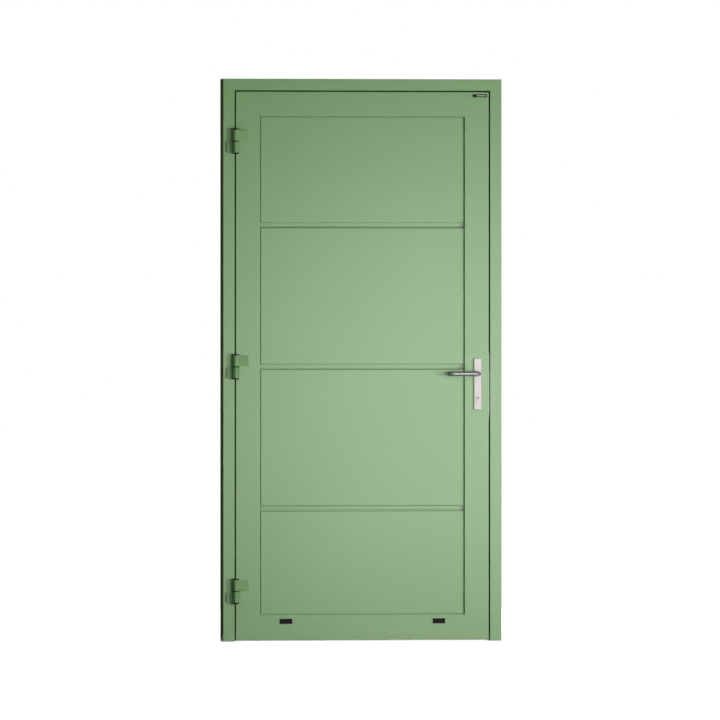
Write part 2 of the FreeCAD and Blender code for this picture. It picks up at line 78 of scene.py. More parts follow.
class Side(IntEnum):
    """The two sides of the closed door; the value is the sign of Y away from the leaf."""

    OUTSIDE = -1
    INSIDE = 1


class Signal:
    """A number on a node board; Python operators on it add Math nodes."""

    def __init__(self, board: "Board", socket: bpy.types.NodeSocket) -> None:
        """Wrap one output socket of the board."""
        self.board = board
        self.socket = socket

    def _math(self, operation: str, *values: Union["Signal", float]) -> "Signal":
        """Add a Math node.

        Args:
            operation: Name of the Math node's operation.
            values: The node's inputs in order, signals or plain numbers.

        Returns:
            The node's result.
        """
        sockets = dict(enumerate(values))
        made = self.board.node("ShaderNodeMath", {"operation": operation}, sockets)
        return Signal(self.board, made.outputs[0])

    def __add__(self, other: Union["Signal", float]) -> "Signal":
        """Sum of both."""
        return self._math("ADD", self, other)

    def __radd__(self, other: float) -> "Signal":
        """Sum of both, number first."""
        return self._math("ADD", other, self)

    def __sub__(self, other: Union["Signal", float]) -> "Signal":
        """Difference."""
        return self._math("SUBTRACT", self, other)

    def __rsub__(self, other: float) -> "Signal":
        """Difference, number first."""
        return self._math("SUBTRACT", other, self)

    def __mul__(self, other: Union["Signal", float]) -> "Signal":
        """Product of both."""
        return self._math("MULTIPLY", self, other)

    def __rmul__(self, other: float) -> "Signal":
        """Product of both, number first."""
        return self._math("MULTIPLY", other, self)

    def clamped(self, low: float, high: float) -> "Signal":
        """The value kept between low and high."""
        return self._math("MINIMUM", self._math("MAXIMUM", self, low), high)

    def swing(self, size: float) -> "Signal":
        """Noise round 0.5 turned into a swing round 0: (noise - 0.5) * size."""
        return (self - 0.5) * size

    def step(self, start: float, end: float) -> "Signal":
        """Smooth rise from 0 at start to 1 at end.

        Args:
            start: Value up to which the result is 0.
            end: Value from which the result is 1.

        Returns:
            The rise, following 3 t^2 - 2 t^3 between them.
        """
        settings = {"interpolation_type": "SMOOTHSTEP"}
        sockets = {"Value": self, "From Min": start, "From Max": end}
        made = self.board.node("ShaderNodeMapRange", settings, sockets)
        return Signal(self.board, made.outputs[0])


class Board:
    """Node board of one material or of the world."""

    def __init__(self, tree: bpy.types.NodeTree) -> None:
        """Start with an empty tree."""
        self.tree = tree
        tree.nodes.clear()

    def node(
        self,
        kind: str,
        settings: Optional[Dict[str, Any]] = None,
        sockets: Optional[Dict[Union[str, int], Any]] = None,
    ) -> bpy.types.Node:
        """Add a node.

        Args:
            kind: Blender's type name of the node.
            settings: Properties, set first.
            sockets: Input values or links by socket name or number.

        Returns:
            The new node.
        """
        made = self.tree.nodes.new(kind)
        for key, value in (settings or {}).items():
            setattr(made, key, value)
        for key, value in (sockets or {}).items():
            self._feed(made.inputs[key], value)
        return made

    def _feed(self, socket: bpy.types.NodeSocket, value: Any) -> None:
        """Link a signal or socket to an input, or set a plain value on it.

        Args:
            socket: The input.
            value: A signal, an output socket, a colour or a plain value.
        """
        if isinstance(value, Signal):
            self.tree.links.new(value.socket, socket)
        elif isinstance(value, bpy.types.NodeSocket):
            self.tree.links.new(value, socket)
        elif isinstance(value, tuple) and len(value) == 3 and socket.type == "RGBA":
            socket.default_value = (*value, 1.0)
        else:
            socket.default_value = value

    def place(self, stretch: Point = (1.0, 1.0, 1.0)) -> bpy.types.NodeSocket:
        """Object coordinates in metres, stretched along each axis.

        Args:
            stretch: Factor on each axis.

        Returns:
            The coordinates' output socket.
        """
        coordinates = self.node("ShaderNodeTexCoord")
        mapping = self.node("ShaderNodeMapping", {"vector_type": "POINT"},
                            {"Vector": coordinates.outputs["Object"], "Scale": stretch})
        return mapping.outputs["Vector"]

    def axes(self) -> Tuple[Signal, Signal, Signal]:
        """X, Y and Z of the object coordinates in metres."""
        split = self.node("ShaderNodeSeparateXYZ", None, {0: self.place()})
        return tuple(Signal(self, output) for output in split.outputs)

    def noise(
        self, scale: float, detail: float = 2.0, rough: float = 0.5,
        stretch: Point = (1.0, 1.0, 1.0),
    ) -> Signal:
        """Smooth noise.

        Args:
            scale: Cells per metre before the stretch.
            detail: Octaves.
            rough: Weight of the finer octaves.
            stretch: Factor on each axis.

        Returns:
            The noise, about 0 to 1 around 0.5.
        """
        made = self.node("ShaderNodeTexNoise", {"noise_dimensions": "3D"},
                         {"Vector": self.place(stretch), "Scale": scale,
                          "Detail": detail, "Roughness": rough})
        return Signal(self, made.outputs[0])

    def mix(self, factor: Union[Signal, float], first: Any, second: Any) -> bpy.types.NodeSocket:
        """Blend of two colours; factor 0 gives the first."""
        made = self.node("ShaderNodeMix", {"data_type": "RGBA", "clamp_factor": True},
                         {0: factor, 6: first, 7: second})
        return made.outputs[2]

    def bump(self, height: Signal, depth: float, strength: float = 1.0) -> bpy.types.NodeSocket:
        """Normal of a small relief of the given depth in metres."""
        made = self.node("ShaderNodeBump", None,
                         {"Height": height, "Distance": depth, "Strength": strength})
        return made.outputs["Normal"]

    def surface(self, sockets: Dict[str, Any]) -> None:
        """End the board in a Principled shader with these inputs."""
        shader = self.node("ShaderNodeBsdfPrincipled", None, sockets)
        self.node("ShaderNodeOutputMaterial", None, {"Surface": shader.outputs[0]})


def new_material(name: str) -> Tuple[bpy.types.Material, Board]:
    """Make an empty material.

    Args:
        name: The material's name.

    Returns:
        The material and its node board.
    """
    material = bpy.data.materials.new(name)
    material.use_nodes = True
    return material, Board(material.node_tree)


def shade(colour: Colour, factor: float) -> Colour:
    """A colour made lighter or darker."""
    return tuple(min(1.0, c * factor) for c in colour)


@dataclass(frozen=True)
class PowderCoat:
    """Fine-textured powder coat on steel: cloudy tone, orange peel and a little dust low down."""

    name: str
    colour: Colour
    roughness: float = 0.42
    specular: float = 0.46
    cloud_scale: float = 3.0
    cloud_depth: float = 0.05
    cloud_tone: float = 2.0
    cloud_rough: float = 0.06
    speck_tone: float = 0.5
    speck_rough: float = 0.08
    peel_scale: float = 900.0
    peel_depth: float = 0.00004
    streak_depth: float = 0.0
    streak_scale: float = 260.0
    streak_stretch: Point = (1.0, 1.0, 0.006)
    dust_height: float = 0.12
    dust_scale: float = 25.0
    dust_share: float = 0.12
    dust_rough: float = 0.5
    dust_colour: Colour = (0.30, 0.32, 0.26)

    def build(self) -> bpy.types.Material:
        """Make the material.

        Returns:
            The material, ready for any piece.
        """
        material, board = new_material(self.name)
        cloud = board.noise(self.cloud_scale, 3.0, 0.55)
        speck = board.noise(self.peel_scale * 2, 1.0)
        streak = board.noise(self.streak_scale, 2.0, 0.6, self.streak_stretch)
        tone = (cloud.swing(self.cloud_tone) + speck.swing(self.speck_tone)
                + streak.swing(self.streak_depth))
        factor = (tone * 0.5 + 0.5).clamped(0.0, 1.0)
        painted = board.mix(factor, shade(self.colour, 1 - self.cloud_depth),
                            shade(self.colour, 1 + self.cloud_depth))
        low_down = 1.0 - board.axes()[Axis.Z].step(0.0, self.dust_height)
        dust = low_down * board.noise(self.dust_scale, 3.0) * self.dust_share
        colour = board.mix(dust, painted, self.dust_colour)
        rough = (self.roughness + cloud.swing(self.cloud_rough) + speck.swing(self.speck_rough)
                 + dust * self.dust_rough)
        peel = board.noise(self.peel_scale, 2.0, 0.45) + streak * self.streak_depth
        board.surface({
            "Base Color": colour,
            "Roughness": rough,
            "Specular IOR Level": self.specular,
            "Normal": board.bump(peel, self.peel_depth),
        })
        return material


@dataclass(frozen=True)
class BrushedMetal:
    """Satin metal with fine parallel brush lines and faint handling marks."""

    name: str
    colour: Colour
    roughness: float
    line_stretch: Point
    line_scale: float = 1500.0
    line_depth: float = 0.000012
    line_share: float = 0.6
    line_rough: float = 0.10
    smear_scale: float = 35.0
    smear_rough: float = 0.12
    tone_depth: float = 0.06
    metallic: float = 1.0

    def build(self) -> bpy.types.Material:
        """Make the material.

        Returns:
            The material, ready for any piece.
        """
        material, board = new_material(self.name)
        line = board.noise(self.line_scale, 3.0, 0.7, self.line_stretch)
        smear = board.noise(self.smear_scale, 3.0, 0.6)
        tone = line * self.line_share + smear * (1 - self.line_share)
        colour = board.mix(tone, shade(self.colour, 1 - self.tone_depth),
                           shade(self.colour, 1 + self.tone_depth))
        rough = self.roughness + smear.swing(self.smear_rough) + line.swing(self.line_rough)
        board.surface({
            "Base Color": colour,
            "Metallic": self.metallic,
            "Roughness": rough,
            "Normal": board.bump(line, self.line_depth),
        })
        return material


@dataclass(frozen=True)
class ZincPlate:
    """Zinc-plated steel with soft crystalline patches and slight stains."""

    name: str
    colour: Colour
    roughness: float = 0.36
    dark: float = 0.82
    light: float = 1.12
    patch_scale: float = 90.0
    patch_share: float = 0.5
    patch_rough: float = 0.12
    stain_scale: float = 20.0
    stain_rough: float = 0.2
    grain_scale: float = 1800.0
    grain_depth: float = 0.00001

    def build(self) -> bpy.types.Material:
        """Make the material.

        Returns:
            The material, ready for any piece.
        """
        material, board = new_material(self.name)
        cells = board.node("ShaderNodeTexVoronoi", {"feature": "F1"},
                           {"Vector": board.place(), "Scale": self.patch_scale})
        split = board.node("ShaderNodeSeparateXYZ", None, {0: cells.outputs["Color"]})
        patch = Signal(board, split.outputs[0])
        stain = board.noise(self.stain_scale, 4.0, 0.6)
        tone = patch * self.patch_share + stain * (1 - self.patch_share)
        colour = board.mix(tone, shade(self.colour, self.dark), shade(self.colour, self.light))
        rough = self.roughness + patch.swing(self.patch_rough) + stain.swing(self.stain_rough)
        grain = board.noise(self.grain_scale, 2.0)
        board.surface({
            "Base Color": colour,
            "Metallic": 1.0,
            "Roughness": rough,
            "Normal": board.bump(grain, self.grain_depth),
        })
        return material


@dataclass(frozen=True)
class SoftPlastic:
    """Moulded plastic or rubber: fine spark texture and a faint bloom."""

    name: str
    colour: Colour
    bloom: Colour
    roughness: float
    specular: float = 0.5
    grain_scale: float = 1400.0
    grain_depth: float = 0.00003
    grain_rough: float = 0.15
    bloom_scale: float = 45.0
    bloom_start: float = 0.45
    bloom_end: float = 0.9
    bloom_share: float = 0.5
    bloom_rough: float = 0.1

    def build(self) -> bpy.types.Material:
        """Make the material.

        Returns:
            The material, ready for any piece.
        """
        material, board = new_material(self.name)
        grain = board.noise(self.grain_scale, 2.0, 0.6)
        cloud = board.noise(self.bloom_scale, 3.0, 0.6)
        cover = cloud.step(self.bloom_start, self.bloom_end) * self.bloom_share
        colour = board.mix(cover, self.colour, self.bloom)
        rough = self.roughness + grain.swing(self.grain_rough) + cloud.swing(self.bloom_rough)
        board.surface({
            "Base Color": colour,
            "Roughness": rough,
            "Specular IOR Level": self.specular,
            "Normal": board.bump(grain, self.grain_depth),
        })
        return material


class Finish(Enum):
    """Every finish of the door set; the value describes it."""

    DOOR_PAINT = PowderCoat("door_paint", GREEN)
    PANEL_PAINT = PowderCoat("panel_paint", GREEN, streak_depth=0.5)
    BEAD_PAINT = PowderCoat("bead_paint", GREEN)
    HINGE_PAINT = PowderCoat("hinge_paint", GREEN, roughness=0.62)
    SATIN_STEEL = BrushedMetal("satin_steel", (0.240, 0.234, 0.224), 0.55, (1.0, 1.0, 0.02),
                               metallic=0.4)
    LEVER_STEEL = BrushedMetal("lever_steel", (0.165, 0.163, 0.170), 0.28, (0.02, 1.0, 1.0),
                               metallic=0.35)
    CYLINDER_NICKEL = BrushedMetal("cylinder_nickel", (0.225, 0.217, 0.208), 0.5,
                                   (1.0, 0.02, 1.0), metallic=0.4)
    LABEL_SILVER = SoftPlastic("label_silver", (0.42, 0.42, 0.44), (0.46, 0.46, 0.48), 0.5, 0.4)
    ZINC_STEEL = ZincPlate("zinc_steel", (0.46, 0.46, 0.47))
    THRESHOLD_METAL = BrushedMetal("threshold_metal", (0.50, 0.50, 0.51), 0.4, (0.02, 1.0, 1.0))
    SEAL_RUBBER = SoftPlastic("seal_rubber", (0.012, 0.012, 0.012), (0.03, 0.03, 0.03), 0.62, 0.35)
    BLACK_PLASTIC = SoftPlastic("black_plastic", (0.005, 0.004, 0.005), (0.008, 0.008, 0.008),
                                0.5, 0.04)


class Dresser:
    """Builds each finish once and puts it on CAD nodes and new pieces."""

    def __init__(self) -> None:
        """Start with no finish built."""
        self.built: Dict[Finish, bpy.types.Material] = {}

    def material(self, finish: Finish) -> bpy.types.Material:
        """The finish as a material, made at its first use.

        Args:
            finish: The finish.

        Returns:
            Its one material.
        """
        if finish not in self.built:
            self.built[finish] = finish.value.build()
        return self.built[finish]

    def node(self, name: str, finish: Finish) -> None:
        """Give one CAD node its finish through its object's material slots.

        Args:
            name: The CAD node.
            finish: Its finish.
        """
        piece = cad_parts[name]
        if not piece.material_slots:
            piece.data.materials.append(None)
        for place in piece.material_slots:
            place.link = "OBJECT"
            place.material = self.material(finish)
        log.info("node %s: %s", name, finish.name.lower())

    def piece(self, piece: bpy.types.Object, finish: Finish, body: Body, slot: str) -> None:
        """Finish a new piece and let it ride on its body.

        Args:
            piece: The mesh object.
            finish: Its finish.
            body: The body it moves with.
            slot: The record's material slot; not used.
        """
        piece.data.materials.append(self.material(finish))
        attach(piece, body.value)
        log.info("piece %s: %d faces", piece.name, len(piece.data.polygons))


class Sheet:
    """Grids of points joined into one mesh, each grid a tube with its ends closed."""

    def __init__(self) -> None:
        """Start with no points."""
        self.points: List[np.ndarray] = []
        self.quads: List[np.ndarray] = []
        self.fans: List[np.ndarray] = []
        self.count = 0

    def add(self, grid: np.ndarray) -> None:
        """Add a tube: each row is a ring round the piece, joined to the next one.

        Both ends are closed with a fan to the middle of the last ring.

        Args:
            grid: Array of rings by points by 3.
        """
        rings, around = grid.shape[:2]
        first = self.count
        index = first + np.arange(rings * around).reshape(rings, around)
        right = np.roll(index, -1, axis=1)
        quads = np.stack([index[:-1], right[:-1], right[1:], index[1:]], axis=-1)
        self.quads.append(quads.reshape(-1, 4))
        middles = np.stack([grid[0].mean(axis=0), grid[-1].mean(axis=0)])
        self.points += [grid.reshape(-1, 3), middles]
        low = np.full(around, first + rings * around)
        self.fans.append(np.stack([right[0], index[0], low], axis=-1))
        self.fans.append(np.stack([index[-1], right[-1], low + 1], axis=-1))
        self.count += rings * around + 2

    def build(self, name: str, smooth_angle: float = 35.0) -> bpy.types.Object:
        """Make the mesh object.

        Args:
            name: The piece's name.
            smooth_angle: Edges that turn by more than this many degrees stay sharp.

        Returns:
            The object, at the origin.
        """
        points = np.concatenate(self.points)
        faces = np.concatenate(self.quads).tolist() + np.concatenate(self.fans).tolist()
        mesh = bpy.data.meshes.new(name)
        mesh.from_pydata(points.tolist(), [], faces)
        mesh.validate()
        mesh.polygons.foreach_set("use_smooth", np.ones(len(mesh.polygons), bool))
        mesh.set_sharp_from_angle(angle=math.radians(smooth_angle))
        mesh.update()
        made = bpy.data.objects.new(name, mesh)
        bpy.context.scene.collection.objects.link(made)
        return made


def turned(profile: np.ndarray, base: Point, axis: Axis, out: int, steps: int) -> np.ndarray:
    """Surface of revolution: at angle t the point is base + out * along + radius * (cos t, sin t).

    Args:
        profile: Rows of (radius, distance along the axis), from the first ring to the last.
        base: Where the axis starts, in metres.
        axis: The axis of the turning.
        out: 1 or -1, the direction along the axis.
        steps: Points round the axis.

    Returns:
        Rings by steps by 3, turning so that faces point outwards for a rising profile.
    """
    angle = np.linspace(0, 2 * np.pi, steps, endpoint=False) * out
    radius = profile[:, :1]
    grid = np.zeros((len(profile), steps, 3))
    grid[..., axis] = out * profile[:, 1:]
    grid[..., (axis + 1) % 3] = radius * np.cos(angle)
    grid[..., (axis + 2) % 3] = radius * np.sin(angle)
    return grid + np.array(base)


def hexagon_ring(flat: float, steps: int) -> np.ndarray:
    """Radius round a hexagon: half its width over flats / cos(angle to the nearest flat).

    Args:
        flat: Width over flats.
        steps: Points round the hexagon.

    Returns:
        One radius for each point.
    """
    angle = np.linspace(0, 2 * np.pi, steps, endpoint=False)
    sixth = np.pi / 3
    return (flat / 2) / np.cos((angle % sixth) - sixth / 2)


@dataclass
class SocketScrew:
    """Low countersunk screw head with a hexagonal socket."""

    head_radius: float = 0.0045
    dome: float = 0.0006
    sunk: float = 0.0012
    foot_share: float = 0.6
    dome_share: float = 0.35
    dome_rings: int = 6
    socket_flat: float = 0.003
    socket_depth: float = 0.0010
    steps: int = 36

    def surface(self, base: Point, axis: Axis, out: int) -> np.ndarray:
        """Rings from the sunk underside over the low dome into the socket.

        Args:
            base: Middle of the head on the surface it sits in.
            axis: The axis it points along.
            out: 1 or -1, the direction it faces.

        Returns:
            Rings by steps by 3.
        """
        arc = np.linspace(0, 1, self.dome_rings)
        hexagon = hexagon_ring(self.socket_flat, self.steps)
        dome_radius = self.head_radius * (1 - self.dome_share * arc)
        dome_height = self.dome * np.sin(arc * np.pi / 2)
        profile = np.concatenate([
            [[self.head_radius * self.foot_share, -self.sunk]],
            np.stack([dome_radius, dome_height], axis=-1),
        ])
        body = turned(profile, ORIGIN, axis, out, self.steps)
        rim = turned(np.array([[1.0, self.dome], [1.0, self.dome - self.socket_depth]]),
                     ORIGIN, axis, out, self.steps)
        others = [(axis + 1) % 3, (axis + 2) % 3]
        rim[..., others] *= hexagon[None, :, None]
        return np.concatenate([body, rim]) + np.array(base)


@dataclass
class Bar:
    """Round bar carried along a path of points, its rings square to the path."""

    radius: float
    steps: int = 40

    def surface(self, path: np.ndarray, up: Point = (0.0, 0.0, 1.0)) -> np.ndarray:
        """Rings along a level path: at angle t a point is path + radius * (side cos t + up sin t).

        Args:
            path: Points by 3; every ring's second direction is up.
            up: Direction square to the whole path.

        Returns:
            Rings by steps by 3.
        """
        tangent = np.gradient(path, axis=0)
        tangent /= np.linalg.norm(tangent, axis=1, keepdims=True)
        side = np.cross(tangent, np.array(up))
        angle = np.linspace(0, 2 * np.pi, self.steps, endpoint=False)[None, :, None]
        ring = side[:, None, :] * np.cos(angle) + np.array(up) * np.sin(angle)
        return path[:, None, :] + self.radius * ring


def rounded_outline(length: float, height: float, corner: float, steps: int = 6) -> np.ndarray:
    """Rounded rectangle: a quarter circle at each corner, joined by straight runs.

    Args:
        length: Size along X.
        height: Size along Z.
        corner: Radius of the corners.
        steps: Points on each corner.

    Returns:
        Points by 2, in order round the outline.
    """
    turn = np.linspace(0, np.pi / 2, steps)
    quarter = corner * np.stack([np.cos(turn), np.sin(turn)], axis=-1)
    half = np.array([length / 2 - corner, height / 2 - corner])
    arcs = [quarter, quarter[::-1], quarter, quarter[::-1]]
    signs = [(1, 1), (-1, 1), (-1, -1), (1, -1)]
    return np.concatenate([np.array(sign) * (half + arc) for sign, arc in zip(signs, arcs)])


def stepped(length: float, height: float, corner: float, steps: Sequence[Tuple[float, float]],
            centre: Point, shrink: bool = False) -> np.ndarray:
    """Low plate before a face: at each step a rounded rectangle, drawn in and standing out.

    Args:
        length: Size along X.
        height: Size along Z.
        corner: Radius of the corners.
        steps: How far each outline is drawn in and how far it stands out towards -Y.
        centre: Point of the face behind the plate's middle.
        shrink: Whether the corners get smaller as the outline is drawn in.

    Returns:
        Steps by points by 3.
    """
    flat = np.stack([rounded_outline(length - 2 * inset, height - 2 * inset,
                                     corner - inset if shrink else corner)
                     for inset, _ in steps])
    stand = np.array([amount for _, amount in steps])[:, None]
    return np.stack([centre[0] + flat[:, :, 0], centre[1] - stand + 0 * flat[:, :, 0],
                     centre[2] + flat[:, :, 1]], axis=-1)


class SubAssembly:
    """A part of the door set that dresses its CAD nodes and adds its own pieces."""

    def build(self, dresser: Dresser) -> None:
        """Dress the nodes and make the pieces.

        Args:
            dresser: Gives the finishes.
        """
        raise NotImplementedError


@dataclass
class NamePlate(SubAssembly):
    """Bare black strip on the leaf's top corner, with a plain pale bar laid in it."""

    length: float = 0.0544
    height: float = 0.0108
    thickness: float = 0.0012
    corner: float = 0.0016
    border: float = 0.0008
    edge_share: float = 0.2
    field_depth: float = 0.0003
    bar_length: float = 0.034
    bar_height: float = 0.0034
    bar_corner: float = 0.0006
    bar_rise: float = 0.0002
    bar_edge: float = 0.0001
    bar_shift: float = 0.0055
    from_lock_edge: float = 0.0350
    from_top: float = 0.0134

    def build(self, dresser: Dresser) -> None:
        """Lay the rings from the back over the border into the field, then the bar.

        Args:
            dresser: Gives the finishes.
        """
        low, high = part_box("lock_stile")
        centre = (high.x - self.from_lock_edge, low.y, high.z - self.from_top)
        edge, foot = self.edge_share, self.thickness - self.field_depth
        steps = [(0.0, 0.0), (0.0, self.thickness * (1 - edge)),
                 (self.thickness * edge, self.thickness), (self.border, self.thickness),
                 (self.border * (1 + edge), foot)]
        sheet = Sheet()
        sheet.add(stepped(self.length, self.height, self.corner, steps, centre, True))
        dresser.piece(sheet.build("name_plate"), Finish.BLACK_PLASTIC, Body.LEAF, "black_plastic")
        steps = [(0.0, foot - self.bar_rise), (0.0, foot + self.bar_rise),
                 (self.bar_edge, self.thickness)]
        sheet = Sheet()
        sheet.add(stepped(self.bar_length, self.bar_height, self.bar_corner, steps,
                          (centre[0] + self.bar_shift, centre[1], centre[2])))
        dresser.piece(sheet.build("name_plate_bar"), Finish.LABEL_SILVER, Body.LEAF,
                      "satin_steel")


@dataclass
class FrameDress(SubAssembly):
    """The fixed frame: jambs, head, threshold, seal, strike plate and anchor plugs."""

    plug_radius: float = 0.0095
    plug_height: float = 0.0011
    plug_edge: float = 0.0004
    plug_power: float = 0.5
    plug_rings: int = 6
    plug_steps: int = 32
    face_reach: float = 0.044
    anchor_depth: float = 0.040
    anchor_end: float = 0.230
    anchor_count: int = 4
    strike_screw_inset: float = 0.012

    def dress(self, dresser: Dresser) -> None:
        """Give the frame's CAD nodes their finishes.

        Args:
            dresser: Gives the finishes.
        """
        for name in ("hinge_jamb", "lock_jamb", "head"):
            dresser.node(name, Finish.DOOR_PAINT)
        dresser.node("threshold", Finish.THRESHOLD_METAL)
        dresser.node("frame_seal", Finish.SEAL_RUBBER)
        dresser.node("strike_plate", Finish.ZINC_STEEL)

    def plugs(self, dresser: Dresser) -> None:
        """Low domed plugs over the anchor holes in both jambs, as surfaces of revolution.

        At angle a up the dome the radius is plug_radius * cos(a) ** plug_power and the height
        rises from plug_edge to plug_height as sin(a).

        Args:
            dresser: Gives the finishes.
        """
        low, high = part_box("lock_jamb")
        heights = np.linspace(self.anchor_end, high.z - self.anchor_end, self.anchor_count)
        arc = np.linspace(0, np.pi / 2, self.plug_rings + 1)[:-1]
        profile = np.concatenate([
            [[self.plug_radius, 0.0]],
            np.stack([self.plug_radius * np.cos(arc) ** self.plug_power,
                      self.plug_edge + (self.plug_height - self.plug_edge) * np.sin(arc)], axis=-1),
        ])
        sheet = Sheet()
        for side in (-1, 1):
            for z in heights:
                base = (side * (high.x - self.face_reach), low.y + self.anchor_depth, float(z))
                sheet.add(turned(profile, base, Axis.X, -side, self.plug_steps))
        dresser.piece(sheet.build("anchor_plugs"), Finish.BLACK_PLASTIC, Body.FRAME,
                      "black_plastic")

    def strike_screws(self, dresser: Dresser) -> None:
        """Two socket screws in the strike plate.

        Args:
            dresser: Gives the finishes.
        """
        low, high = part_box("strike_plate")
        middle = (low.y + high.y) / 2
        sheet = Sheet()
        for z in (low.z + self.strike_screw_inset, high.z - self.strike_screw_inset):
            sheet.add(SocketScrew().surface((low.x, middle, z), Axis.X, -1))
        dresser.piece(sheet.build("strike_screws"), Finish.ZINC_STEEL, Body.FRAME, "zinc_steel")

    def build(self, dresser: Dresser) -> None:
        """Dress the frame and make its plugs and strike screws.

        Args:
            dresser: Gives the finishes.
        """
        self.dress(dresser)
        self.plugs(dresser)
        self.strike_screws(dresser)


@dataclass
class LeafDress(SubAssembly):
    """The leaf: profiles, panel sections, beads, bottom strip, drain caps and lock."""

    panel_count: int = 4
    faceplate_screw_inset: float = 0.012
    faceplate_thickness: float = 0.003
    leaf_setback: float = 0.008

    def dress(self, dresser: Dresser) -> None:
        """Give the leaf's CAD nodes their finishes.

        Args:
            dresser: Gives the finishes.
        """
        for name in ("hinge_stile", "lock_stile", "top_rail", "bottom_rail", "bottom_strip"):
            dresser.node(name, Finish.DOOR_PAINT)
        for number in range(1, self.panel_count + 1):
            dresser.node(f"panel_{number}", Finish.PANEL_PAINT)
        for name in ("hinge_side_bead", "lock_side_bead", "top_bead", "bottom_bead"):
            dresser.node(name, Finish.BEAD_PAINT)
        dresser.node("drain_caps", Finish.BLACK_PLASTIC)
        dresser.node("mortice_lock", Finish.ZINC_STEEL)
        dresser.node("lock_cylinder", Finish.CYLINDER_NICKEL)

    def faceplate_screws(self, dresser: Dresser) -> None:
        """Two socket screws in the lock's faceplate, on the leaf's edge.

        Args:
            dresser: Gives the finishes.
        """
        low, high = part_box("mortice_lock")
        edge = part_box("lock_stile")[1].x - self.leaf_setback + self.faceplate_thickness
        middle = (low.y + high.y) / 2
        sheet = Sheet()
        for z in (low.z + self.faceplate_screw_inset, high.z - self.faceplate_screw_inset):
            sheet.add(SocketScrew().surface((edge, middle, z), Axis.X, 1))
        dresser.piece(sheet.build("faceplate_screws"), Finish.ZINC_STEEL, Body.LEAF, "zinc_steel")

    def build(self, dresser: Dresser) -> None:
        """Dress the leaf and make the faceplate's screws.

        Args:
            dresser: Gives the finishes.
        """
        self.dress(dresser)
        self.faceplate_screws(dresser)


@dataclass
class HingeDress(SubAssembly):
    """The three surface hinges with their pins, bushes and caps."""

    levels: Tuple[str, ...] = ("bottom", "middle", "top")

    def build(self, dresser: Dresser) -> None:
        """Give the hinges' CAD nodes their finishes.

        Args:
            dresser: Gives the finishes.
        """
        for level in self.levels:
            for half in ("frame_part", "leaf_part"):
                dresser.node(f"hinge_{level}_{half}", Finish.HINGE_PAINT)
        dresser.node("hinge_pins", Finish.ZINC_STEEL)
        for name in ("hinge_bushes", "hinge_lower_caps", "hinge_upper_caps"):
            dresser.node(name, Finish.BLACK_PLASTIC)


